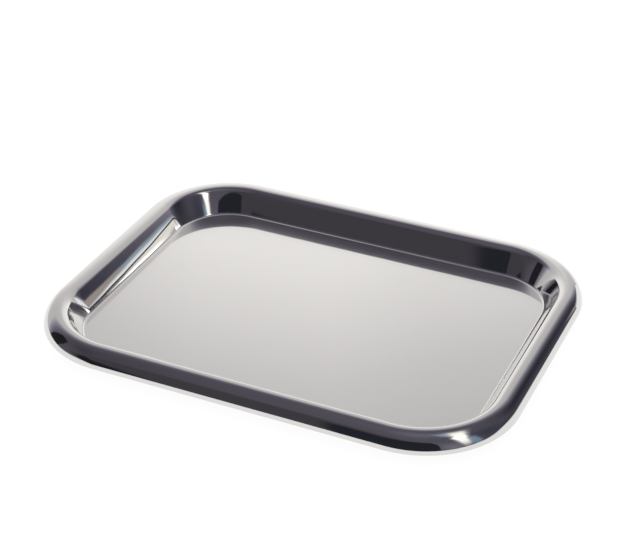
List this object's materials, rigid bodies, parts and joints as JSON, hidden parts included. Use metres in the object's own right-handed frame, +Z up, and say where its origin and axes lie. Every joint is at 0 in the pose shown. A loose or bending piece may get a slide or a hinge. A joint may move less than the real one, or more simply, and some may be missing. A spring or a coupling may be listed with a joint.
{
  "type": "serving tray",
  "caption": "Rectangular mirror-polished stainless steel serving tray with rounded corners, a flat floor, a leaning wall and a fat hollow rolled rim closed from below.",
  "frame": {"origin": "middle of the standing plane: the underside of the land that the tray rests on, at Z = 0", "axes": "+X along the long side, +Y along the short side, +Z up out of the well"},
  "size_m": [0.45, 0.348, 0.0258],
  "materials": {
    "mirror_polished_steel": "mirror polished 18/10 stainless sheet, very fine buffing hairlines",
    "satin_steel": "as-pressed satin stainless sheet",
    "weld_metal": "fine-rippled stainless weld bead, ground flush where it faces out"
  },
  "bodies": {
    "root": {"tray_pan": "mirror_polished_steel", "rim_closing_ring": "satin_steel", "rim_seam_weld": "weld_metal", "land_seam_weld": "weld_metal"}
  },
  "joints": []
}
